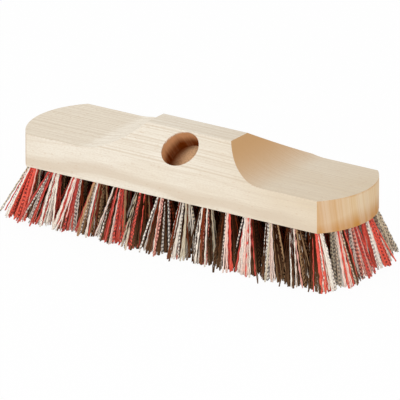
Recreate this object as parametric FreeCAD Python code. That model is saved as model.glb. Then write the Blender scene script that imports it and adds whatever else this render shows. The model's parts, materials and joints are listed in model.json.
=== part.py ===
import FreeCAD, Part
import math
import os

# A broom-style scrub brush: a scooped wooden block with a handle socket in its front slope,
# and rows of three-coloured tufts, each folded round a wire anchor in a drilled hole.
# Millimetres. The bristle tips stand on z = 0, +Z is up, +X runs along the block,
# and the socket leans out towards -Y.

Vector = FreeCAD.Vector

# Wooden block, heights from its underside
side_length = 200.0  # straight long sides, corner to corner
end_bulge = 12.5  # how far each rounded end stands out past its corners
block_width = 62.5
block_height = 36.0  # underside to crown
shoulder_height = 20.5  # upright part of the long sides
end_thickness = 19.5  # wood left at the ends, beyond the scoops
crown_length = 57.8  # flat strip on top
crown_width = 16.7
scoop_radius = 47.5  # hollow from the crown down to each end

# Handle socket, square to the front slope
handle_lean = 40.0  # degrees from upright, which is also the front slope's rise
socket_radius = 11.5
socket_web = 1.5  # least wood between the socket and the tuft holes' depth

# Tuft holes in the underside
outer_row_tufts = 14
inner_row_tufts = 15
side_margin = 4.0  # outer rows to the long sides
corner_margin = 3.5  # last hole of an outer row to the corner
inner_row_extra = 5.0  # how much further the inner rows run at each end
hole_radius = 3.0  # to the flats, because the many holes are drawn with flats
hole_flats = 8
hole_depth = 8.0

# Tufts, with cross sections taken at the mouth of the hole
bristle_height = 33.0  # underside of the block to the trimmed tips
end_splay = 8.0  # how far the last tufts of the outer rows lean out at their tips
side_splay = 5.0  # how far the outer rows lean out at their tips
red_width = 1.4  # red bundle, between the cream and the brown
flank_width = 2.45  # flat on the outside of the cream and the brown bundle
hollow_depth = 0.65  # furrow between two ridges of filaments, in from the tuft's round outline
tip_gap = 1.1  # between neighbouring tufts at the tips
hole_clearance = 0.1  # tuft to its hole
bundle_gap = 0.1  # between the colours of a tuft

# Wire anchors, flat strips set askew to the grain, so that a row of them doesn't split the block
anchor_turn = 35.0  # degrees from X
anchor_thickness = 0.5
anchor_height = 2.4
anchor_bite = 0.8  # how far each end is driven into the hole's wall
fold_cover = 1.4  # bristle folded over the anchor
anchor_clearance = 0.05  # to the wood it cuts and to the bristles round it

row_names = ["front_row", "front_inner_row", "centre_row", "back_inner_row", "back_row"]

# Sizes that follow from those above
side_y = block_width / 2
corner_x = side_length / 2
end_x = corner_x + end_bulge
crown_x = crown_length / 2
slope_rise = block_height - shoulder_height
slope_run = slope_rise / math.tan(math.radians(handle_lean))
crown_front_y = slope_run - side_y
crown_back_y = crown_front_y + crown_width
outer_row_y = side_y - side_margin
outer_row_x = corner_x - corner_margin
inner_row_x = outer_row_x + inner_row_extra
row_pitch = 2 * outer_row_y / (len(row_names) - 1)
tip_spread_x = 1 + end_splay / outer_row_x
tip_spread_y = 1 + side_splay / outer_row_y
mouth_radius = hole_radius - hole_clearance
tuft_pitches = [
    2 * outer_row_x / (outer_row_tufts - 1) * tip_spread_x,
    2 * inner_row_x / (inner_row_tufts - 1) * tip_spread_x,
    row_pitch * tip_spread_y,
]
tip_radius = (min(tuft_pitches) - tip_gap) / 2
fold_height = hole_depth - hole_clearance
anchor_length = 2 * (hole_radius + anchor_bite)
anchor_foot = fold_height - fold_cover - anchor_height
cut_past = block_height  # how far a cutting tool reaches beyond the wood


def prism(points, direction):
    outline = Part.makePolygon(points + points[:1])
    return Part.Face(outline).extrude(direction)


def block_plan():
    front_left = Vector(-corner_x, -side_y, 0)
    front_right = Vector(corner_x, -side_y, 0)
    back_right = Vector(corner_x, side_y, 0)
    back_left = Vector(-corner_x, side_y, 0)
    edges = [
        Part.LineSegment(front_left, front_right).toShape(),
        Part.Arc(front_right, Vector(end_x, 0, 0), back_right).toShape(),
        Part.LineSegment(back_right, back_left).toShape(),
        Part.Arc(back_left, Vector(-end_x, 0, 0), front_left).toShape(),
    ]
    return Part.Face(Part.Wire(edges)).extrude(Vector(0, 0, block_height))


def block_section():
    profile = [
        Vector(-end_x, -side_y, 0),
        Vector(-end_x, side_y, 0),
        Vector(-end_x, side_y, shoulder_height),
        Vector(-end_x, crown_back_y, block_height),
        Vector(-end_x, crown_front_y, block_height),
        Vector(-end_x, -side_y, shoulder_height),
    ]
    return prism(profile, Vector(2 * end_x, 0, 0))


def scoop(end):
    # the hollow is a round trough across the block that runs out level at the thin end
    drop = block_height - end_thickness
    reach = math.sqrt(2 * scoop_radius * drop - drop**2)
    level_x = crown_x + reach
    half_turn = math.asin(reach / scoop_radius) / 2

    def place(x, z):
        return Vector(end * x, -side_y - cut_past, z)

    arc_middle = place(
        level_x - scoop_radius * math.sin(half_turn),
        end_thickness + scoop_radius * (1 - math.cos(half_turn)),
    )
    rim = place(crown_x, block_height)
    foot = place(level_x, end_thickness)
    corners = [
        foot,
        place(end_x + cut_past, end_thickness),
        place(end_x + cut_past, block_height + cut_past),
        place(crown_x, block_height + cut_past),
        rim,
    ]
    edges = [Part.Arc(rim, arc_middle, foot).toShape()]
    for start, stop in zip(corners, corners[1:]):
        edges.append(Part.LineSegment(start, stop).toShape())
    return Part.Face(Part.Wire(edges)).extrude(Vector(0, block_width + 2 * cut_past, 0))


def handle_socket():
    lean = math.radians(handle_lean)
    outward = Vector(0, -math.sin(lean), math.cos(lean))
    mouth = Vector(0, (crown_front_y - side_y) / 2, (shoulder_height + block_height) / 2)
    lowest = hole_depth + socket_web
    depth = (mouth.z - socket_radius * math.sin(lean) - lowest) / math.cos(lean)
    print("handle socket: mouth", mouth + Vector(0, 0, bristle_height), "depth", depth)
    return Part.makeCylinder(socket_radius, depth + cut_past, mouth - outward * depth, outward)


def row_y(row):
    return -outer_row_y + row * row_pitch


def tuft_places(row):
    outer = row in (0, len(row_names) - 1)
    count = outer_row_tufts if outer else inner_row_tufts
    reach = outer_row_x if outer else inner_row_x
    return [Vector(-reach + 2 * reach * i / (count - 1), row_y(row), 0) for i in range(count)]


def tuft_lean(place):
    # travel of the tuft's middle from the mouth of its hole down to the tips
    return Vector(place.x * (tip_spread_x - 1), place.y * (tip_spread_y - 1), -bristle_height)


def tuft_middle(place, height):
    return place - tuft_lean(place) * (height / bristle_height)


def tuft_scale(height):
    # the bristles fan out evenly from the fold, so every cross section has the same shape
    return 1 - (tip_radius / mouth_radius - 1) * height / bristle_height


def leaning_solid(place, low, high, outline, scale=lambda height: 1):
    # flat sides between two heights of the same outline, which follows the tuft's lean
    rings = []
    for height in (low, high):
        middle = tuft_middle(place, height)
        size = scale(height)
        rings.append([middle + Vector(x * size, y * size, 0) for x, y in outline])
    faces = [Part.Face(Part.makePolygon(ring + ring[:1])) for ring in rings]
    lower, upper = rings
    for i in range(len(outline)):
        side = [lower[i - 1], lower[i], upper[i], upper[i - 1], lower[i - 1]]
        faces.append(Part.Face(Part.makePolygon(side)))
    return Part.makeSolid(Part.makeShell(faces))


def askew(outline):
    # from an outline drawn along an anchor to the block's own directions
    turn = math.radians(anchor_turn)
    along, across = math.cos(turn), math.sin(turn)
    return [(x * along - y * across, x * across + y * along) for x, y in outline]


def oblong(length, width):
    return [(x * length / 2, y * width / 2) for x, y in [(-1, -1), (1, -1), (1, 1), (-1, 1)]]


def tuft_hole(place):
    half_flat = math.pi / hole_flats
    corner = hole_radius / math.cos(half_flat)
    turns = [half_flat * (2 * i + 1) for i in range(hole_flats)]
    outline = [(corner * math.cos(turn), corner * math.sin(turn)) for turn in turns]
    return leaning_solid(place, -cut_past, hole_depth, outline)


def anchor_space(place, low):
    # the room round an anchor, from a height below it to just above it
    outline = oblong(anchor_length + 2 * anchor_clearance, anchor_thickness + 2 * anchor_clearance)
    return leaning_solid(place, low, anchor_foot + anchor_height + anchor_clearance, askew(outline))


def anchor_slot(place):
    # the cut that the anchor's ends leave in the wood as it is driven in from the mouth
    return anchor_space(place, -cut_past)


def wood_block():
    block = block_plan().common(block_section())
    tools = [scoop(-1), scoop(1), handle_socket()]
    for row in range(len(row_names)):
        for place in tuft_places(row):
            tools += [tuft_hole(place), anchor_slot(place)]
    return block.cut(tools)


def anchor(place):
    outline = oblong(anchor_length, anchor_thickness)
    return leaning_solid(place, anchor_foot, anchor_foot + anchor_height, askew(outline))


def anchor_window(place):
    return anchor_space(place, anchor_foot - anchor_clearance)


def hollow(first, second):
    # the bottom of the furrow between two ridges on the tuft's round outline
    turn = (math.atan2(first[1], first[0]) + math.atan2(second[1], second[0])) / 2
    radius = mouth_radius - hollow_depth
    return (radius * math.cos(turn), radius * math.sin(turn))


def bundle_outlines():
    # cross sections at the mouth of the hole, side by side along the anchor inside a circle of
    # mouth_radius, with the ridges on the circle
    red_x = red_width / 2
    inner_x = red_x + bundle_gap
    flank_y = flank_width / 2
    red_ridge = (red_x, math.sqrt(mouth_radius**2 - red_x**2))
    inner_ridge = (inner_x, math.sqrt(mouth_radius**2 - inner_x**2))
    flank_ridge = (math.sqrt(mouth_radius**2 - flank_y**2), flank_y)

    def mirrored(points, x_sign, y_sign):
        return [(x * x_sign, y * y_sign) for x, y in points]

    red_top = [red_ridge, hollow(red_ridge, (-red_x, red_ridge[1])), (-red_x, red_ridge[1])]
    red = red_top + mirrored(red_top, -1, -1)
    brown_top = [flank_ridge, hollow(flank_ridge, inner_ridge), inner_ridge]
    brown = brown_top + mirrored(reversed(brown_top), 1, -1)
    cream = mirrored(brown, -1, -1)
    return {"cream": askew(cream), "red": askew(red), "brown": askew(brown)}


def bundle(place, outline):
    fan = leaning_solid(place, -bristle_height, fold_height, outline, tuft_scale)
    return fan.cut(anchor_window(place))


def save(name, solids):
    shape = solids[0] if len(solids) == 1 else Part.makeCompound(solids)
    shape.translate(Vector(0, 0, bristle_height))
    if not shape.isValid():
        raise ValueError(name + " is not a valid shape")
    shape.exportStep("parts/" + name + ".step")
    print(name, "solids", len(shape.Solids), "volume", round(shape.Volume, 2))


os.makedirs("parts", exist_ok=True)
save("wood_block", wood_block().Solids)
for row, row_name in enumerate(row_names):
    places = tuft_places(row)
    for colour, outline in bundle_outlines().items():
        save(row_name + "_" + colour + "_bristles", [bundle(place, outline) for place in places])
    save(row_name + "_anchors", [anchor(place) for place in places])
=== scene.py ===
import json
import math

import bpy
import numpy as np
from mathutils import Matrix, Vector


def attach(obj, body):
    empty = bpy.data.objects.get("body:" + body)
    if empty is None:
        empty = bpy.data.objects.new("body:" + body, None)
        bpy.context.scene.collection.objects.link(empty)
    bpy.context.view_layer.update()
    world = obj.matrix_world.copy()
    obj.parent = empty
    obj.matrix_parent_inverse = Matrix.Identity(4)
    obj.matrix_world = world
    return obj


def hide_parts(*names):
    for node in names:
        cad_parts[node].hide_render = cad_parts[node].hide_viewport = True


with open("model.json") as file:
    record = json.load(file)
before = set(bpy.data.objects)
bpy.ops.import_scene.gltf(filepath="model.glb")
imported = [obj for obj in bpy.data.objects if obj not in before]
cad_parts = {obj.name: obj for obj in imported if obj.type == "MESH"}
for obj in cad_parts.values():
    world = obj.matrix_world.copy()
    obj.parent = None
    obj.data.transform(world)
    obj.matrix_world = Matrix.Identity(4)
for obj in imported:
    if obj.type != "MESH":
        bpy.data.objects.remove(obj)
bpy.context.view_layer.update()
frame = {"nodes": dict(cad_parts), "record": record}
cadNodes = frame["nodes"]
print("frame loaded,", len(cadNodes), "nodes")


# Small helpers for shader trees

def feed(tree, socket, value):
    if isinstance(value, bpy.types.NodeSocket):
        tree.links.new(value, socket)
    else:
        socket.default_value = value


def addNode(tree, kind, inputs=None, **settings):
    made = tree.nodes.new("ShaderNode" + kind)
    for name, value in settings.items():
        setattr(made, name, value)
    for name, value in (inputs or {}).items():
        feed(tree, made.inputs[name], value)
    return made


def calc(tree, operation, first, second=0.0, third=0.0):
    return addNode(tree, "Math", {0: first, 1: second, 2: third}, operation=operation).outputs[0]


def times(tree, first, second):
    return calc(tree, "MULTIPLY", first, second)


def vectorCalc(tree, operation, first, second=(0.0, 0.0, 0.0)):
    made = addNode(tree, "VectorMath", {0: first, 1: second}, operation=operation)
    return made.outputs["Value" if operation in ("DOT_PRODUCT", "LENGTH") else "Vector"]


def remap(tree, value, low, high, toLow=0.0, toHigh=1.0, kind="SMOOTHSTEP"):
    inputs = {0: value, 1: low, 2: high, 3: toLow, 4: toHigh}
    return addNode(tree, "MapRange", inputs, interpolation_type=kind).outputs[0]


def mixColour(tree, factor, first, second):
    inputs = {0: factor, 6: first, 7: second}
    return addNode(tree, "Mix", inputs, data_type="RGBA").outputs[2]


def noise(tree, place, stretch, detail=2.0):
    spread = vectorCalc(tree, "MULTIPLY", place, stretch)
    inputs = {"Vector": spread, "Scale": 1.0, "Detail": detail}
    return addNode(tree, "TexNoise", inputs).outputs[0]


def lineNoise(tree, along, detail=2.0):
    inputs = {"W": along, "Scale": 1.0, "Detail": detail}
    return addNode(tree, "TexNoise", inputs, noise_dimensions="1D").outputs[0]


def paint(colour):
    return (*colour, 1.0)


def tint(tree, colour, mask, share, towards):
    # a share of the way from one colour to another, where the mask shows
    return mixColour(tree, times(tree, mask, share), colour, paint(towards))


def newMaterial(name):
    material = bpy.data.materials.new(name)
    material.use_nodes = True
    tree = material.node_tree
    tree.nodes.clear()
    output = tree.nodes.new("ShaderNodeOutputMaterial")
    surface = tree.nodes.new("ShaderNodeBsdfPrincipled")
    tree.links.new(surface.outputs[0], output.inputs["Surface"])
    return material, tree, surface


def dress(thing, material):
    thing.data.materials.clear()
    thing.data.materials.append(material)


# Beech block: growth rings stand upright along the block, so the slope and the scoops show fine
# lines, the front stays plain, and the ends show upright streaks of end grain

woodLook = {
    "colours": {
        "pale": (0.854, 0.790, 0.678),
        "warm": (0.710, 0.588, 0.425),
        "scooped": (0.904, 0.809, 0.660),  # painted light: a shade paler in the left hollow, which faces the light
        "hollowRise": (1.000, 0.935, 0.812),  # painted light: paler again where it rises to the crown and faces the light from the left
        "ringDark": (0.647, 0.532, 0.403),
        "fleck": (0.532, 0.319, 0.160),
        "endGrain": (0.725, 0.535, 0.320),
        # painted light: the back part of the end face, turned away from the lamps, is painted paler
        "endBack": (0.840, 0.600, 0.350),
        "endDeep": (0.550, 0.251, 0.057),
        "scoopGrain": (0.567, 0.337, 0.160),  # where the scoop's rise cuts across the fibres, darker again as painted shade on the right rise, which faces away from the light
        "socket": (0.680, 0.358, 0.172),
        # painted shade deep in the socket, and painted light on its floor
        "socketDeep": (0.168, 0.033, 0.001),
        "socketFloor": (0.960, 0.665, 0.390),
    },
    "rings": {
        "perMetre": 850.0,
        "broadShare": 0.21,  # broad rings for each fine one
        "lean": 0.16,  # how far the rings lean from upright
        "sway": 0.0045,
        "swayStretch": (9.0, 22.0, 22.0),
        "fineDetail": 1.5,
        "fineRange": (0.45, 0.63),
        "broadDetail": 1.0,
        "broadRange": (0.3, 0.7),
        "share": 0.60,
    },
    # marks along the fibres: stretch and detail of their noise, the range that shows, and how strongly
    "marks": {
        "fibres": {"stretch": (55.0, 1500.0, 1500.0), "detail": 3.0, "range": (0.35, 0.7), "share": 0.28},
        "pores": {"stretch": (650.0, 1500.0, 1500.0), "detail": 2.0, "range": (0.4, 0.75), "share": 0.32},
        "flecks": {"stretch": (330.0, 900.0, 1100.0), "detail": 1.0, "range": (0.66, 0.74), "share": 0.28},
        "clouds": {"stretch": (16.0, 45.0, 45.0), "detail": 2.0, "range": (0.4, 0.75), "share": 0.3},
    },
    # where the tones lie: ranges of x, y and z in metres, or of the way that a face looks
    "places": {
        "warmX": (-0.02, 0.12),
        "warmShare": 0.8,
        "hollowFacing": (0.85, 0.97),
        "hollowX": (-0.03, -0.05),
        "hollowShare": 0.6,
        "leftRise": (0.0, -0.28),
        "rightRisePower": 1.1,
        "endFacing": (0.08, 0.92),
        "endSide": (-0.1, 0.1),
        "endSideShares": (0.4, 1.0),  # less end grain on the left end, which faces the light: the stronger tint on the right end is partly painted shade
        "endUpright": (0.12, 0.04),
        "lowEdgeZ": (0.046, 0.033),
        "frontCornerY": (-0.006, -0.031),
        "frontCornerShare": 0.6,
        "topRimZ": (0.0508, 0.0524),
        "topRimShare": 0.45,
        "backSideY": (-0.005, 0.024),
        "backSideShare": 0.6,
        "endStreakShare": 0.26,
        "endRingShare": 0.20,
    },
    # how the socket's rim is torn, and where painted shade and painted light fall on its wall and floor
    "socket": {
        "wallFade": (0.0003, 0.0001),  # outside the radius
        "tornStretch": (1100.0, 1100.0, 1100.0),
        "tornDepth": 0.0022,
        "tornFade": (0.0012, -0.0004),  # past the mouth
        "wallTop": 0.0025,  # below the mouth
        "wallFoot": -0.55,  # of the way from the socket's middle to its mouth
        "streakStretch": (420.0, 420.0, 420.0),
        "streakShare": 1.1,
        "paleSideX": (0.003, 0.010),
        "paleSideShare": 0.55,
        "floorFade": (0.0003, 0.0001),  # above the floor
        "floorLight": (0.72, -0.53, -0.45),  # the way to the floor's painted light
        "floorLit": (-0.0125, -0.006),
        "floorLitX": (-0.0125, -0.001),
        "floorTorn": (0.3, 0.6, 0.7, 1.0),
    },
    "finish": {
        "roughness": (0.56, 0.70),
        "roughRange": (0.3, 0.7),
        "gloss": 0.05,
        "ringBump": -0.6,
        "fibreBump": -0.4,
        "bumpStrength": 0.25,
        "bumpDepth": 0.00012,
    },
}


def growthRings(tree, place, across):
    # fine dark lines and broad tones, swaying a little along the block
    look = woodLook["rings"]
    sway = calc(tree, "SUBTRACT", noise(tree, place, look["swayStretch"]), 0.5)
    leaning = calc(tree, "MULTIPLY_ADD", across[2], look["lean"], across[1])
    swaying = calc(tree, "ADD", leaning, times(tree, sway, look["sway"]))
    turns = times(tree, swaying, look["perMetre"])
    fine = lineNoise(tree, turns, look["fineDetail"])
    broad = lineNoise(tree, times(tree, turns, look["broadShare"]), look["broadDetail"])
    return remap(tree, fine, *look["fineRange"]), remap(tree, broad, *look["broadRange"])


def endGrain(tree, across, ringLine, broadTone):
    # end grain drinks in more colour, most of all near the lower edge
    colours, where = woodLook["colours"], woodLook["places"]
    lowEdge = remap(tree, across[2], *where["lowEdgeZ"])
    corner = times(tree, remap(tree, across[1], *where["frontCornerY"]), where["frontCornerShare"])
    topRim = times(tree, remap(tree, across[2], *where["topRimZ"]), where["topRimShare"])
    deep = calc(tree, "MAXIMUM", calc(tree, "MAXIMUM", lowEdge, corner), topRim)
    # painted light: paler towards the back of the end face, where its curve turns away from the lamps
    litBackSide = remap(tree, across[1], *where["backSideY"])
    colour = tint(tree, paint(colours["endGrain"]), litBackSide, where["backSideShare"], colours["endBack"])
    colour = mixColour(tree, deep, colour, paint(colours["endDeep"]))
    colour = tint(tree, colour, broadTone, where["endStreakShare"], colours["pale"])
    return tint(tree, colour, ringLine, where["endRingShare"], colours["endDeep"])


def drilledSocket(tree, place, across):
    # where the socket is, and its raw wood, with painted shade deeper down the wall and painted light on
    # one side of the wall and on the floor
    colours, look = woodLook["colours"], woodLook["socket"]
    socket = next(m for m in frame["record"]["mounts"] if m["name"] == "handle_socket")
    fromSocket = vectorCalc(tree, "SUBTRACT", place, tuple(socket["pos_m"]))
    along = vectorCalc(tree, "DOT_PRODUCT", fromSocket, tuple(socket["axis"]))
    sideways = vectorCalc(tree, "CROSS_PRODUCT", fromSocket, tuple(socket["axis"]))
    outward = vectorCalc(tree, "LENGTH", sideways)
    radius = socket["dims"]["r_mm"] / 1000
    mouth = socket["dims"]["length_mm"] / 2000
    within = remap(tree, outward, *(radius + past for past in look["wallFade"]))
    torn = noise(tree, place, look["tornStretch"])
    rim = calc(tree, "MULTIPLY_ADD", torn, look["tornDepth"], along)
    sunk = remap(tree, rim, *(mouth + past for past in look["tornFade"]))

    # painted shade: the wall darkens from the mouth down, with streaks
    wallShade = remap(tree, along, mouth - look["wallTop"], look["wallFoot"] * mouth)
    streak = calc(tree, "SUBTRACT", noise(tree, sideways, look["streakStretch"]), 0.5)
    wallShade = calc(tree, "ADD", wallShade, times(tree, streak, look["streakShare"]))
    # painted light on the wall's right side
    litWallSide = times(tree, remap(tree, across[0], *look["paleSideX"]), look["paleSideShare"])
    wallShade = times(tree, wallShade, calc(tree, "SUBTRACT", 1.0, litWallSide))
    shadedWall = mixColour(tree, wallShade, paint(colours["socket"]), paint(colours["socketDeep"]))

    # painted light and shade on the floor: lit towards floorLight and to the right, dark on the other side
    onFloor = remap(tree, along, *(above - mouth for above in look["floorFade"]))
    nearSide = vectorCalc(tree, "DOT_PRODUCT", fromSocket, look["floorLight"])
    floorLighting = remap(tree, nearSide, *look["floorLit"])
    floorLighting = times(tree, floorLighting, remap(tree, across[0], *look["floorLitX"]))
    floorLighting = times(tree, floorLighting, remap(tree, torn, *look["floorTorn"]))
    litFloor = mixColour(tree, floorLighting, paint(colours["socketDeep"]), paint(colours["socketFloor"]))
    return times(tree, within, sunk), mixColour(tree, onFloor, shadedWall, litFloor)


def beechMaterial():
    colours, where, finish = woodLook["colours"], woodLook["places"], woodLook["finish"]
    markLooks = woodLook["marks"]
    material, tree, surface = newMaterial("paleBeech")
    place = addNode(tree, "TexCoord").outputs["Object"]
    across = addNode(tree, "SeparateXYZ", {0: place}).outputs
    facing = addNode(tree, "NewGeometry").outputs["Normal"]
    turned = addNode(tree, "SeparateXYZ", {0: facing}).outputs
    ringLine, broadTone = growthRings(tree, place, across)
    spots = {name: noise(tree, place, mark["stretch"], mark["detail"]) for name, mark in markLooks.items()}
    marks = {name: remap(tree, spots[name], *mark["range"]) for name, mark in markLooks.items()}

    # the block grows warmer to the right
    drift = times(tree, remap(tree, across[0], *where["warmX"]), where["warmShare"])
    warmth = calc(tree, "ADD", drift, times(tree, marks["clouds"], markLooks["clouds"]["share"]))
    colour = mixColour(tree, warmth, paint(colours["pale"]), paint(colours["warm"]))

    # painted light: the left hollow is paler, most of all on its rise, which faces the light from the left,
    # and runs out softly into the slope
    rise = times(tree, times(tree, turned[0], turned[2]), 2.0)
    lookingUp = remap(tree, turned[2], *where["hollowFacing"])
    litLeftTop = times(tree, lookingUp, remap(tree, across[0], *where["hollowX"]))
    colour = tint(tree, colour, litLeftTop, where["hollowShare"], colours["scooped"])
    leftRise = remap(tree, rise, *where["leftRise"])
    colour = mixColour(tree, leftRise, colour, paint(colours["hollowRise"]))

    # rings, long drawn fibres, pores and short flecks
    colour = tint(tree, colour, ringLine, woodLook["rings"]["share"], colours["ringDark"])
    for name, tone in (("fibres", "ringDark"), ("pores", "ringDark"), ("flecks", "fleck")):
        colour = tint(tree, colour, marks[name], markLooks[name]["share"], colours[tone])

    # upright end grain at both ends, and the right scoop's rise, which cuts across the fibres: its darker
    # colour is partly that end grain, partly painted shade, since it faces away from the light
    endwise = remap(tree, calc(tree, "ABSOLUTE", turned[0]), *where["endFacing"])
    # partly painted shade: the end-grain tint is stronger on the right end, away from the light
    endSide = remap(tree, turned[0], *where["endSide"], *where["endSideShares"])
    upright = remap(tree, calc(tree, "ABSOLUTE", turned[2]), *where["endUpright"])
    endMask = times(tree, times(tree, endwise, endSide), upright)
    colour = mixColour(tree, endMask, colour, endGrain(tree, across, ringLine, broadTone))
    # painted shade, with end grain: only the right rise, which faces away from the light, is darkened
    shadedRightRise = calc(tree, "POWER", calc(tree, "MAXIMUM", rise, 0.0), where["rightRisePower"])
    riseGrainAndShade = times(tree, shadedRightRise, calc(tree, "SUBTRACT", 1.0, endMask))
    colour = mixColour(tree, riseGrainAndShade, colour, paint(colours["scoopGrain"]))

    # the socket's raw wood, with its painted shade and painted light
    inSocket, socketWoodAndShade = drilledSocket(tree, place, across)
    colour = mixColour(tree, inSocket, colour, socketWoodAndShade)
    feed(tree, surface.inputs["Base Color"], colour)
    rough = remap(tree, spots["fibres"], *finish["roughRange"], *finish["roughness"])
    feed(tree, surface.inputs["Roughness"], calc(tree, "MAXIMUM", rough, inSocket))
    surface.inputs["Specular IOR Level"].default_value = finish["gloss"]
    ringHeight = times(tree, ringLine, finish["ringBump"])
    fibreHeight = times(tree, marks["fibres"], finish["fibreBump"])
    height = calc(tree, "ADD", ringHeight, fibreHeight)
    bumpInputs = {"Height": height, "Strength": finish["bumpStrength"], "Distance": finish["bumpDepth"]}
    feed(tree, surface.inputs["Normal"], addNode(tree, "Bump", bumpInputs).outputs[0])
    return material


dress(cadNodes["wood_block"], beechMaterial())
print("beech block dressed")


# Wire anchors, deep in the tuft holes

wireLook = {
    "dull": (0.42, 0.43, 0.44),
    "bright": (0.66, 0.66, 0.65),
    "drawnStretch": (120.0, 4000.0, 4000.0),
    "drawnDetail": 3.0,
    "drawnRange": (0.2, 0.8),
    "roughness": (0.28, 0.5),
}


def anchorMaterial():
    look = wireLook
    material, tree, surface = newMaterial("drawnWire")
    place = addNode(tree, "TexCoord").outputs["Object"]
    drawn = noise(tree, place, look["drawnStretch"], look["drawnDetail"])
    colour = mixColour(tree, drawn, paint(look["dull"]), paint(look["bright"]))
    feed(tree, surface.inputs["Base Color"], colour)
    rough = remap(tree, drawn, *look["drawnRange"], *look["roughness"])
    feed(tree, surface.inputs["Roughness"], rough)
    surface.inputs["Metallic"].default_value = 1.0
    return material


wire = anchorMaterial()
for nodeName, node in cadNodes.items():
    if nodeName.endswith("_anchors"):
        dress(node, wire)
print("anchors dressed")


# Bristles: one crimped filament is drawn up step by step, and laid many times over in each tuft

filamentShape = {
    "sides": 4,
    "steps": 12,
    "radius": 0.00034,
    "crimp": 0.00020,
    "apart": 0.00035,  # from the middle of a pair to each of its filaments, at the tips
    "foldShare": 0.4,  # of that distance at the fold
    "pairTurn": 2.0,  # radians between the two
    "pairClimb": 0.5,  # millimetres that the bands of the one are ahead
    "bandStretch": (0.95, 0.1),  # how closely the bands come, at least, and how much that varies
    "stripMargin": 0.08,  # bare edges of a filament's strip on the map
}


def crimpedFilament():
    # unit length, drawn up in steps that swing from side to side
    shape = filamentShape
    bpy.ops.object.select_all(action="DESELECT")
    bpy.ops.mesh.primitive_circle_add(vertices=shape["sides"], radius=shape["radius"], fill_type="NGON")
    master = bpy.context.active_object
    bpy.ops.object.mode_set(mode="EDIT")
    bpy.ops.mesh.select_all(action="SELECT")
    for step in range(shape["steps"]):
        swing = shape["crimp"] * (2 if step % 2 == 0 else -2)
        move = {"value": (swing, 0.0, 1.0 / shape["steps"])}
        bpy.ops.mesh.extrude_region_move(TRANSFORM_OT_translate=move)
    bpy.ops.mesh.select_all(action="SELECT")
    bpy.ops.mesh.normals_make_consistent(inside=False)
    bpy.ops.object.mode_set(mode="OBJECT")
    points = np.array([v.co for v in master.data.vertices])
    faces = [tuple(p.vertices) for p in master.data.polygons]
    bpy.data.objects.remove(master)
    points[:, 0] -= shape["crimp"]
    return points, faces


def filamentMap(points, faces):
    # where each face corner lies on a strip: across the sides, and up the length
    sides, steps = filamentShape["sides"], filamentShape["steps"]
    ring = np.rint(points[:, 2] * steps).astype(int)
    middle = np.array([points[ring == r].mean(0) for r in range(steps + 1)])
    apart = points - middle[ring]
    turn = np.arctan2(apart[:, 1], apart[:, 0]) / (2 * math.pi) * sides
    side = np.rint(turn - turn.min()).astype(int) % sides
    corners = []
    for face in faces:
        onFace = [side[v] for v in face]
        wraps = 0 in onFace and sides - 1 in onFace
        for v in face:
            over = sides if wraps and side[v] == 0 else side[v]
            corners.append((over / sides, ring[v] / (steps + 0.5)))
    return np.array(corners)


def cornerPoints(nodeName):
    # a node's distinct corner points, in order along the row
    return np.unique(np.round([v.co for v in cadNodes[nodeName].data.vertices], 6), axis=0)


def levelOutlines(nodeName, count, lowest):
    # the outline of each of a node's bundles at its tips or at its fold, point by point round it
    sameLevel = 1e-4
    points = cornerPoints(nodeName)
    level = points[:, 2].min() if lowest else points[:, 2].max()
    outlines = []
    for group in np.array_split(points[abs(points[:, 2] - level) < sameLevel], count):
        apart = group - group.mean(0)
        outlines.append(group[np.argsort(np.arctan2(apart[:, 1], apart[:, 0]))])
    return outlines


def isInside(place, outline):
    inside = False
    for (ax, ay), (bx, by) in zip(outline[:, :2], np.roll(outline, 1, axis=0)[:, :2]):
        if (ay > place[1]) != (by > place[1]):
            inside ^= place[0] < ax + (bx - ax) * (place[1] - ay) / (by - ay)
    return inside


def outlineArea(outline):
    x, y = outline[:, 0], outline[:, 1]
    return abs(np.dot(x, np.roll(y, 1)) - np.dot(y, np.roll(x, 1))) / 2


def strew(draw, outline, room, looseness):
    # places inside an outline, loosely on a grid of triangles, with so much room for each
    squareStep, rowStep = 1.1547, 0.866  # the step's square for each unit of room, and rows to a step
    step = math.sqrt(room * squareStep)
    middle = outline[:, :2].mean(0)
    reach = np.linalg.norm(outline[:, :2] - middle, axis=1).max()
    turn = draw.uniform(0, math.pi)
    shift = draw.uniform(-0.5, 0.5, 2)
    span = math.ceil(reach / (step * rowStep)) + 1
    places = []
    for row in range(-span, span + 1):
        for column in range(-span, span + 1):
            x = (column + 0.5 * (row % 2) + shift[0]) * step
            y = (row + shift[1]) * step * rowStep
            turnedX = x * math.cos(turn) - y * math.sin(turn)
            turnedY = x * math.sin(turn) + y * math.cos(turn)
            spot = np.array([turnedX, turnedY])
            spot += middle + draw.normal(0, looseness * step, 2)
            if isInside(spot, outline):
                places.append(spot)
    return places


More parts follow.
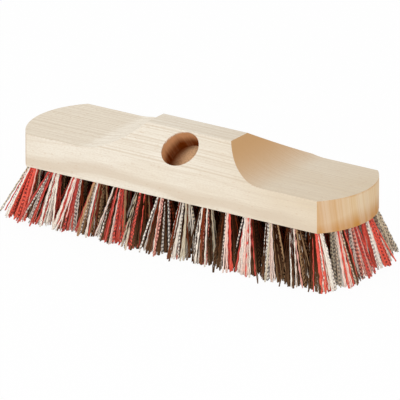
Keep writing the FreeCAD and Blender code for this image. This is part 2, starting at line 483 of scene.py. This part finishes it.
bristleLooks = {
    "cream": {
        "tones": [(0.0, (1.0, 0.92, 0.80)), (0.52, (1.0, 0.84, 0.68)), (0.62, (0.98, 0.70, 0.58)),
                  (0.76, (0.95, 0.60, 0.48)), (0.84, (0.76, 0.62, 0.40)), (1.0, (0.52, 0.40, 0.22))],
        # painted shade: the colour of the dark bands along the filament
        "band": (0.040, 0.013, 0.003),
        "tip": (0.95, 0.86, 0.72),
        "tipShare": 0.2,
        "roughness": 0.42,
        "gloss": 1.0,
        "sheen": 0.9,
    },
    "red": {
        "tones": [(0.0, (0.92, 0.12, 0.065)), (0.60, (0.85, 0.075, 0.040)), (0.70, (0.55, 0.032, 0.018)),
                  (0.78, (0.50, 0.028, 0.016)), (0.86, (0.88, 0.26, 0.16)), (1.0, (0.90, 0.50, 0.41))],
        # painted shade: the colour of the dark bands along the filament
        "band": (0.17, 0.010, 0.007),
        "tip": (0.88, 0.20, 0.11),
        "tipShare": 0.2,
        "roughness": 0.42,
        "gloss": 0.50,
        "sheen": 0.12,
    },
    "brown": {
        "tones": [(0.0, (0.042, 0.013, 0.004)), (0.28, (0.055, 0.015, 0.005)), (0.40, (0.22, 0.030, 0.009)),
                  (0.50, (0.20, 0.062, 0.018)), (0.68, (0.32, 0.18, 0.09)), (1.0, (0.55, 0.33, 0.17))],
        # painted shade: the colour of the dark bands along the filament
        "band": (0.016, 0.005, 0.002),
        "tip": (0.32, 0.18, 0.09),
        "tipShare": 0.4,
        "roughness": 0.60,
        "gloss": 0.04,
        "sheen": 0.0,
    },
}

# painted shade: darker bands along a filament where its crimp turns away from the light, in millimetres,
# and how unevenly they come
bandShadeLook = {
    "period": 2.2,
    "sharpness": 0.55,
    "unevenTurns": 0.37,
    "unevenMiddle": 0.63,
    "unevenShare": 1.6,
    "roughness": 0.2,  # added on the bands
    "wornFrom": 0.45,  # of the way down, where the tips begin to pale
}

# how the filaments of a tuft lie, and which of them are dark, banded or astray
tuftMix = {
    "room": 0.0000017,  # square metres for each pair of filaments at the tips
    "looseness": 0.16,  # of a step, off the grid that they are strewn on
    "thickness": (0.85, 1.25),  # least and most, of the filament's own
    "gather": 0.80,  # filaments keep this far within their bundle at the fold
    "flare": (0.02, 0.26),  # and spread this far past it at the tips
    "rightward": (0.828, 0.561),  # across a tuft as the photograph sees it
    "blur": 0.10,  # how far the batches run into one another
    "core": 0.50,  # painted shade: nearer the tuft's middle than this, more filaments are dark, for the shade between the front ones
    "coreShare": 0.35,
    "stripe": 0.20,  # width of a stripe of like filaments
    "stripeSpan": 3.0,  # the width that they cover, more than the tuft's own 2
    "darkStripes": (0.18, 0.36, 0.46),  # share of the stripes that are dark, left, middle and right: partly brown fibre, partly painted shade between the filaments
    "darkStripesX": (-0.1, 0.0, 0.1),
    "darkBanded": 0.1,
    "endDark": (0.06, 0.15),  # share of stripes and of the core that are dark at the ends, where painted shade is less
    "leftDark": ("russet", "darkRed", "dark", "darkRed"),
    "rightDark": ("dark", "dark", "dark", "russet"),
    "leftTo": -0.03,  # x where the left tufts end
    "strangers": 0.10,  # share that comes from anywhere in the tuft
    "tipJitter": 0.0005,
    "ragged": 0.0014,
    "trimLevel": -0.0002,  # the tips are trimmed a little on the slant, longest at the front right
    "trimSlant": -0.018,
    "trimLeast": 0.0003,
    "endSlant": 0.11,
    "bow": 0.0005,
    "strays": 0.13,  # share that stands askew, how far, and how far at most
    "strayReach": 0.0040,
    "strayMost": 0.0065,
    "bandTwist": 4.5,  # millimetres that the bands climb across half a tuft
    "bandBlur": 0.5,
    "bandStart": 100.0,  # each tuft's bands start somewhere within so many millimetres
    "bandedDepth": (0.7, 1.0),  # how dark the painted shade bands are on banded and on plain filaments
    "plainDepth": (0.0, 0.15),
    "cornerStrays": (0.06, 0.004),  # share and reach of the cream filaments that stand out at the ends
    "wildStrays": (0.14, 0.0085),  # the same at the front left corner
    "cornerSide": 0.2,  # only filaments on the outer side stand out
    "cornerRise": 0.3,  # and rise so much for each step out
    "cornerShares": (0.2, 1.0),  # least and most of their reach
    "seed": 67,
}

# the batches of filament that tufts are mixed from: colour, and lowest and highest tone
batches = {
    "white": ("cream", 0.0, 0.36),
    "pink": ("cream", 0.58, 0.78),
    "olive": ("cream", 0.80, 1.0),
    "red": ("red", 0.0, 0.60),
    "crimson": ("red", 0.52, 0.72),
    "darkRed": ("red", 0.66, 0.80),
    "salmon": ("red", 0.84, 1.0),
    "dark": ("brown", 0.0, 0.30),
    "russet": ("brown", 0.34, 0.50),
    "tan": ("brown", 0.60, 1.0),
}

# how the tufts are mixed, from left to right: share of the width, batch, share that is banded with painted
# shade
mixes = {
    "redCorner": [(0.06, "white", 0.3), (0.46, "red", 0.1), (0.10, "salmon", 0.3), (0.12, "red", 0.2),
                  (0.06, "olive", 0.8), (0.20, "russet", 0.1)],
    "creamFan": [(0.18, "white", 0.4), (0.14, "darkRed", 0.1), (0.08, "pink", 0.2), (0.32, "white", 0.1),
                 (0.10, "salmon", 0.2), (0.18, "darkRed", 0.1)],
    "creamRed": [(0.26, "white", 0.1), (0.08, "pink", 0.1), (0.28, "darkRed", 0.3), (0.20, "white", 0.2),
                 (0.18, "russet", 0.1)],
    "creamTan": [(0.14, "white", 0.6), (0.30, "white", 0.1), (0.12, "salmon", 0.1), (0.44, "tan", 0.5)],
    "bandedRed": [(0.26, "white", 0.8), (0.14, "pink", 0.2), (0.36, "red", 0.4), (0.24, "tan", 0.5)],
    "broadRed": [(0.16, "olive", 0.5), (0.58, "red", 0.4), (0.26, "tan", 0.2)],
    "bandedOrange": [(0.30, "white", 0.6), (0.26, "salmon", 0.4), (0.20, "red", 0.3), (0.24, "white", 0.4)],
    "bandedOlive": [(0.34, "white", 0.5), (0.18, "salmon", 0.4), (0.24, "olive", 0.2),
                    (0.24, "white", 0.2)],
    "bandedPink": [(0.36, "white", 0.6), (0.18, "salmon", 0.4), (0.22, "white", 0.1), (0.24, "olive", 0.1)],
    "pinkStripe": [(0.30, "white", 0.8), (0.12, "pink", 0.1), (0.24, "crimson", 0.1), (0.16, "white", 0.2),
                   (0.18, "tan", 0.4)],
    "deepStripe": [(0.08, "white", 0.1), (0.24, "pink", 0.1), (0.38, "crimson", 0.1), (0.30, "dark", 0.2)],
    "bandedMauve": [(0.30, "white", 0.8), (0.16, "pink", 0.2), (0.20, "olive", 0.1), (0.34, "tan", 0.3)],
    "whiteOrange": [(0.22, "dark", 0.1), (0.34, "white", 0.1), (0.06, "salmon", 0.1), (0.38, "tan", 0.6)],
    "frontCorner": [(0.20, "dark", 0.1), (0.16, "white", 0.2), (0.08, "dark", 0.2), (0.20, "red", 0.2),
                    (0.10, "white", 0.2), (0.16, "crimson", 0.2), (0.10, "white", 0.5)],
    "endBanded": [(0.22, "olive", 0.6), (0.10, "tan", 0.5), (0.24, "white", 0.5), (0.14, "pink", 0.1),
                  (0.30, "red", 0.4)],
    "endRed": [(0.14, "pink", 0.2), (0.20, "crimson", 0.6), (0.14, "white", 0.4), (0.14, "salmon", 0.3),
               (0.14, "white", 0.4), (0.24, "crimson", 0.4)],
    "endPink": [(0.24, "pink", 0.3), (0.28, "red", 0.3), (0.26, "white", 0.4), (0.22, "red", 0.2)],
    "endOlive": [(0.34, "red", 0.2), (0.16, "white", 0.2), (0.50, "olive", 0.7)],
    # the inner rows are mostly dark: partly brown fibre, partly painted shade for the rows that stand in
    # shade behind the outer ones
    "innerRusset": [(0.10, "white", 0.6), (0.10, "red", 0.3), (0.50, "russet", 0.1), (0.30, "tan", 0.2)],
    "innerDark": [(0.10, "white", 0.6), (0.10, "darkRed", 0.2), (0.40, "tan", 0.3), (0.40, "russet", 0.1)],
}
frontMixes = ["redCorner", "creamFan", "creamRed", "creamTan", "bandedRed", "broadRed", "bandedOrange",
              "bandedOlive", "bandedPink", "pinkStripe", "deepStripe", "bandedMauve", "whiteOrange",
              "frontCorner"]
firstMixes = {"front_inner_row": "creamRed", "centre_row": "endRed", "back_inner_row": "creamFan"}
lastMixes = {"front_inner_row": "endBanded", "centre_row": "endRed", "back_inner_row": "endPink",
             "back_row": "endOlive"}
russetShare = 0.3  # of the inner rows, from the left


def tuftMixName(rowName, number, count):
    if number == count - 1 and rowName in lastMixes:
        return lastMixes[rowName]
    if number == 0 and rowName in firstMixes:
        return firstMixes[rowName]
    if rowName in ("front_row", "back_row"):
        fromLeft = number if rowName == "front_row" else -1 - number
        return frontMixes[fromLeft % len(frontMixes)]
    return "innerRusset" if number < russetShare * count else "innerDark"


def batchAt(mixName, w):
    # the batch, and how much of it is banded with painted shade, at a place from -1 to 1 across a tuft
    share = (w + 1) / 2
    for width, batch, shadeBanded in mixes[mixName]:
        share -= width
        if share < 0:
            break
    return batch, shadeBanded


def tuftFilaments(draw, bundles, mixName, corner, strayShape, endSlant):
    # (colour, root, end, bow, turn, size, tone, painted shade banding, phase, climb) of each pair of a tuft
    mix = tuftMix
    strayShare, strayReach = strayShape
    tips = np.concatenate([tip for fold, tip in bundles])
    tuftMiddle = (tips.min(0) + tips.max(0)) / 2
    tuftReach = np.linalg.norm(tips - tuftMiddle, axis=1).max()
    darkBatches = mix["leftDark"] if tuftMiddle[0] < mix["leftTo"] else mix["rightDark"]
    stripeDark = np.interp(tuftMiddle[0], mix["darkStripesX"], mix["darkStripes"])
    stripeDark, coreDark = (stripeDark, mix["coreShare"]) if corner is None else mix["endDark"]
    stripeCount = math.ceil(mix["stripeSpan"] / mix["stripe"])
    isDark = draw.uniform(size=stripeCount) < stripeDark
    tuftClimb = draw.uniform(0, mix["bandStart"])
    made = []
    for fold, tip in bundles:
        shrink = math.sqrt(outlineArea(fold) / outlineArea(tip))
        tipMiddle, foldMiddle = tip.mean(0), fold.mean(0)
        for spot in strew(draw, tip, mix["room"], mix["looseness"]):
            apart = np.append(spot, tipMiddle[2]) - tipMiddle
            end = tipMiddle + apart
            end += (end - tuftMiddle) * draw.uniform(*mix["flare"])
            root = foldMiddle + apart * shrink * mix["gather"]
            across = (end - tuftMiddle)[:2] / tuftReach
            rightward = np.dot(across, mix["rightward"])
            climb = tuftClimb + rightward * mix["bandTwist"] + draw.normal(0, mix["bandBlur"])
            w = rightward + draw.normal(0, mix["blur"])
            if draw.uniform() < mix["strangers"]:
                w = draw.uniform(-1, 1)
            batch, shadeBanded = batchAt(mixName, w)
            # painted shade, with real brown fibre: the tuft's core and its dark stripes get dark filaments,
            # for the shade between filaments
            inCore = np.linalg.norm(across) < mix["core"] and draw.uniform() < coreDark
            stripe = math.floor((w + mix["stripeSpan"] / 2) / mix["stripe"]) % stripeCount
            if inCore or isDark[stripe]:
                batch = darkBatches[draw.randint(len(darkBatches))]
                shadeBanded = mix["darkBanded"]
            end[:2] += draw.normal(0, mix["tipJitter"], 2)
            if draw.uniform() < mix["strays"]:
                stray = draw.normal(0, mix["strayReach"], 2)
                end[:2] += np.clip(stray, -mix["strayMost"], mix["strayMost"])
            if corner is not None and draw.uniform() < strayShare:
                if np.dot(across, corner) > mix["cornerSide"]:
                    batch = "olive"
                    outward = np.append(corner, mix["cornerRise"])
                    end += outward * draw.uniform(*mix["cornerShares"]) * strayReach
            trim = max(mix["trimLeast"], mix["trimLevel"] + mix["trimSlant"] * end[0])
            trim += endSlant * max(0.0, end[1])
            end[2] += trim + mix["ragged"] * draw.uniform() ** 2
            bow = np.append(draw.normal(0, mix["bow"], 2), 0.0)
            size = draw.uniform(*mix["thickness"])
            colour, lowTone, highTone = batches[batch]
            tone = draw.uniform(lowTone, highTone)
            depths = mix["bandedDepth"] if draw.uniform() < shadeBanded else mix["plainDepth"]
            banding = draw.uniform(*depths)
            made.append((colour, root, end, bow, draw.uniform(0, 2 * math.pi), size,
                         tone, banding, draw.uniform(0, 1), climb))
    return made


def pairOf(root, end, bow, turn, size, tone, banding, phase, climb):
    # two filaments of one colour that lie side by side, with their bands out of step
    shape = filamentShape
    aside = np.array((math.cos(turn), math.sin(turn), 0.0)) * shape["apart"]
    atFold = aside * shape["foldShare"]
    near = (root + atFold, end + aside, bow, turn, size, tone, banding, phase, climb)
    far = (root - atFold, end - aside, bow, turn + shape["pairTurn"], size,
           tone, banding, 1 - phase, climb + shape["pairClimb"])
    return [near, far]


def layFilaments(name, strands, pattern):
    # one mesh of laid copies, with what the material needs to know about each
    points, faces, corners = pattern
    leastBand, bandVaries = filamentShape["bandStretch"]
    margin = filamentShape["stripMargin"]
    lift = points[:, 2]
    allPoints, allFaces, along, reach, tone, banding, places = [], [], [], [], [], [], []
    for i, (root, end, bow, turn, size, strandTone, strandBandShade, phase, climb) in enumerate(strands):
        axis = end - root
        length = np.linalg.norm(axis)
        straight = axis / length
        side = np.cross(straight, (0.0, 1.0, 0.0))
        side /= np.linalg.norm(side)
        back = np.cross(straight, side)
        x = (points[:, 0] * math.cos(turn) - points[:, 1] * math.sin(turn)) * size
        y = (points[:, 0] * math.sin(turn) + points[:, 1] * math.cos(turn)) * size
        swell = 4 * lift * (1 - lift)
        height = lift + swell * (phase - 0.5) / filamentShape["steps"]
        laid = root + np.outer(height, axis) + np.outer(swell, bow)
        laid += np.outer(x, side) + np.outer(y, back)
        allPoints.append(laid)
        allFaces += [tuple(v + i * len(points) for v in face) for face in faces]
        along.append(height * length * 1000 * (leastBand + bandVaries * phase) + climb)
        reach.append(height)
        tone.append(np.full(len(points), strandTone))
        banding.append(np.full(len(points), strandBandShade))
        strip = corners.copy()
        strip[:, 0] = (i + margin + (1 - 2 * margin) * strip[:, 0]) / len(strands)
        places.append(strip)
    mesh = bpy.data.meshes.new(name)
    mesh.from_pydata(np.concatenate(allPoints), [], allFaces)
    for attribute, values in (("along", along), ("reach", reach), ("tone", tone), ("banding", banding)):
        layer = mesh.attributes.new(attribute, "FLOAT", "POINT")
        layer.data.foreach_set("value", np.concatenate(values).astype(np.float32))
    layer = mesh.uv_layers.new(name="OFBake")
    layer.uv.foreach_set("vector", np.concatenate(places).astype(np.float32).ravel())
    mesh.shade_smooth()
    mesh.validate()
    piece = bpy.data.objects.new(name, mesh)
    bpy.context.scene.collection.objects.link(piece)
    return piece


def crimpShadeGroup():
    # painted shade: darker bands along a filament where its crimp turns away from the light
    look = bandShadeLook
    group = bpy.data.node_groups.new("crimpBands", "ShaderNodeTree")
    face = group.interface
    for name in ("Along", "Period", "Sharpness"):
        face.new_socket(name=name, in_out="INPUT", socket_type="NodeSocketFloat")
    face.new_socket(name="Mask", in_out="OUTPUT", socket_type="NodeSocketFloat")
    start = group.nodes.new("NodeGroupInput").outputs
    finish = group.nodes.new("NodeGroupOutput").inputs
    turns = calc(group, "DIVIDE", start["Along"], start["Period"])
    wave = calc(group, "SINE", times(group, turns, 2 * math.pi))
    unevenness = lineNoise(group, times(group, turns, look["unevenTurns"]))
    unevenness = calc(group, "SUBTRACT", unevenness, look["unevenMiddle"])
    mixed = calc(group, "ADD", wave, times(group, unevenness, look["unevenShare"]))
    edge = calc(group, "SUBTRACT", 1.0, start["Sharpness"])
    mask = remap(group, mixed, times(group, edge, -1.0), edge)
    feed(group, finish["Mask"], mask)
    return group


def bristleMaterial(colourName, shadeBandGroup):
    look = bristleLooks[colourName]
    material, tree, surface = newMaterial(colourName + "Filament")

    def attribute(name):
        return addNode(tree, "Attribute", attribute_name=name).outputs["Fac"]

    ramp = addNode(tree, "ValToRGB", {0: attribute("tone")})
    stops = ramp.color_ramp.elements
    while len(stops) < len(look["tones"]):
        stops.new(0.5)
    for stop, (where, colour) in zip(stops, look["tones"]):
        stop.position = where
        stop.color = paint(colour)
    band = addNode(tree, "Group", node_tree=shadeBandGroup)
    feed(tree, band.inputs["Along"], attribute("along"))
    band.inputs["Period"].default_value = bandShadeLook["period"]
    band.inputs["Sharpness"].default_value = bandShadeLook["sharpness"]
    mask = band.outputs["Mask"]
    # paler towards the tips
    tipPaling = remap(tree, attribute("reach"), bandShadeLook["wornFrom"], 1.0)
    colour = tint(tree, ramp.outputs[0], tipPaling, look["tipShare"], look["tip"])
    # painted shade: the bands darken the filament's colour
    depth = times(tree, mask, attribute("banding"))
    feed(tree, surface.inputs["Base Color"], mixColour(tree, depth, colour, paint(look["band"])))
    plain = look["roughness"]
    rough = remap(tree, mask, 0.0, 1.0, plain, plain + bandShadeLook["roughness"])
    feed(tree, surface.inputs["Roughness"], rough)
    surface.inputs["Specular IOR Level"].default_value = look["gloss"]
    surface.inputs["Sheen Weight"].default_value = look["sheen"]
    return material


pattern = crimpedFilament()
pattern = (*pattern, filamentMap(*pattern))
shadeBandGroup = crimpShadeGroup()
bristleMaterials = {name: bristleMaterial(name, shadeBandGroup) for name in bristleLooks}
rowNames = sorted(n[:-len("_red_bristles")] for n in cadNodes if n.endswith("_red_bristles"))
anchorCorners = 8  # each tuft has one anchor, an oblong strip
filamentCount = 0
for rowNumber, rowName in enumerate(rowNames):
    draw = np.random.RandomState(tuftMix["seed"] + rowNumber)
    laid = {name: [] for name in bristleLooks}
    tuftCount = len(cornerPoints(rowName + "_anchors")) // anchorCorners
    nodeNames = [rowName + "_" + name + "_bristles" for name in bristleLooks]
    ends = [[levelOutlines(name, tuftCount, lowest) for name in nodeNames] for lowest in (False, True)]
    for number in range(tuftCount):
        bundles = [(fold[number], tip[number]) for fold, tip in zip(*ends)]
        corner = None
        strayShape = tuftMix["cornerStrays"]
        if rowName == "front_row" and number == 0:
            strayShape = tuftMix["wildStrays"]
        if number in (0, tuftCount - 1):
            outward = bundles[1][1].mean(0)[:2]
            corner = outward / np.linalg.norm(outward)
        endSlant = tuftMix["endSlant"] if number == tuftCount - 1 else 0.0
        mixName = tuftMixName(rowName, number, tuftCount)
        for colour, *strand in tuftFilaments(draw, bundles, mixName, corner, strayShape, endSlant):
            laid[colour] += pairOf(*strand)
    words = rowName.split("_")
    plainName = words[0] + "".join(word.title() for word in words[1:])
    for colour, strands in laid.items():
        piece = layFilaments(plainName + colour.title() + "Filaments", strands, pattern)
        dress(piece, bristleMaterials[colour])
        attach(piece, "root")
        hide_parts(rowName + "_" + colour + "_bristles")
        filamentCount += len(strands)
print("tufts laid,", filamentCount, "filaments")


# Studio: pale floor, one soft key from the front left, even light all round

studio = {
    "floorColour": (0.90, 0.90, 0.90),
    "floorSize": 8.0,
    "floorWhite": 0.96,  # how far the floor is lifted to white for the camera
    "worldLight": 0.83,
    "aim": (0.0, 0.0, 0.04),
    "lamps": {
        "keyLamp": {"power": 3.15, "size": 0.9, "from": (-0.75, -0.95, 1.2)},
        "fillLamp": {"power": 6.2, "size": 0.9, "from": (0.75, -1.25, 0.35)},
    },
}


def seenDirectly(tree):
    rays = addNode(tree, "LightPath").outputs
    some = calc(tree, "MAXIMUM", rays["Is Camera Ray"], rays["Is Glossy Ray"])
    return calc(tree, "MAXIMUM", some, rays["Is Transmission Ray"])


def layFloor():
    bpy.ops.object.select_all(action="DESELECT")
    bpy.ops.mesh.primitive_plane_add(size=studio["floorSize"], location=(0.0, 0.0, 0.0))
    floor = bpy.context.active_object
    floor.name = "studioFloor"
    material = bpy.data.materials.new("studioFloor")
    material.use_nodes = True
    tree = material.node_tree
    tree.nodes.clear()
    matt = addNode(tree, "BsdfDiffuse", {"Color": paint(studio["floorColour"])})
    white = addNode(tree, "Emission", {"Color": (1.0, 1.0, 1.0, 1.0), "Strength": 1.0})
    clear = addNode(tree, "BsdfTransparent")
    lift = times(tree, seenDirectly(tree), studio["floorWhite"])
    top = addNode(tree, "MixShader", {0: lift, 1: matt.outputs[0], 2: white.outputs[0]})
    below = addNode(tree, "NewGeometry").outputs["Backfacing"]
    both = addNode(tree, "MixShader", {0: below, 1: top.outputs[0], 2: clear.outputs[0]})
    output = tree.nodes.new("ShaderNodeOutputMaterial")
    tree.links.new(both.outputs[0], output.inputs["Surface"])
    floor.data.materials.append(material)


def lightWorld():
    world = bpy.data.worlds.new("studioWorld")
    bpy.context.scene.world = world
    world.use_nodes = True
    tree = world.node_tree
    tree.nodes.clear()
    strength = remap(tree, seenDirectly(tree), 0.0, 1.0, studio["worldLight"], 1.0, "LINEAR")
    glow = addNode(tree, "Background", {"Color": (1.0, 1.0, 1.0, 1.0), "Strength": strength})
    output = tree.nodes.new("ShaderNodeOutputWorld")
    tree.links.new(glow.outputs[0], output.inputs["Surface"])


def hangLamp(name, setting):
    lamp = bpy.data.lights.new(name, "AREA")
    lamp.energy = setting["power"]
    lamp.size = setting["size"]
    holder = bpy.data.objects.new(name, lamp)
    bpy.context.scene.collection.objects.link(holder)
    holder.location = setting["from"]
    towards = Vector(studio["aim"]) - holder.location
    holder.rotation_euler = towards.to_track_quat("-Z", "Y").to_euler()


layFloor()
lightWorld()
for lampName, setting in studio["lamps"].items():
    hangLamp(lampName, setting)
bpy.context.scene.view_settings.view_transform = "Standard"
print("studio lit")


# Camera at the photograph's angle, with a long lens

shot = {
    "azimuth": 34.1,
    "elevation": 20.09,
    "distance": 10.0,
    "pixelsPerMetre": 1751.0,
    "framePixels": 400,
    "sensor": 36.0,
    "lookAt": (0.0, -0.00125, 0.033),  # a point on the object and the pixel where it shows
    "lookPixel": (200.4, 184.95),
}


def setCamera():
    turn, rise = math.radians(shot["azimuth"]), math.radians(shot["elevation"])
    back = Vector((math.sin(turn) * math.cos(rise), -math.cos(turn) * math.cos(rise), math.sin(rise)))
    right = Vector((math.cos(turn), math.sin(turn), 0.0))
    up = back.cross(right)
    middle = shot["framePixels"] / 2
    across = (middle - shot["lookPixel"][0]) / shot["pixelsPerMetre"]
    down = (middle - shot["lookPixel"][1]) / shot["pixelsPerMetre"]
    target = Vector(shot["lookAt"]) + right * across - up * down
    lens = bpy.data.cameras.new("photoCamera")
    lens.sensor_width = shot["sensor"]
    lens.lens = shot["pixelsPerMetre"] * shot["distance"] * shot["sensor"] / shot["framePixels"]
    camera = bpy.data.objects.new("photoCamera", lens)
    bpy.context.scene.collection.objects.link(camera)
    camera.location = target + back * shot["distance"]
    camera.rotation_euler = (-back).to_track_quat("-Z", "Y").to_euler()
    bpy.context.scene.camera = camera


setCamera()
print("camera set")
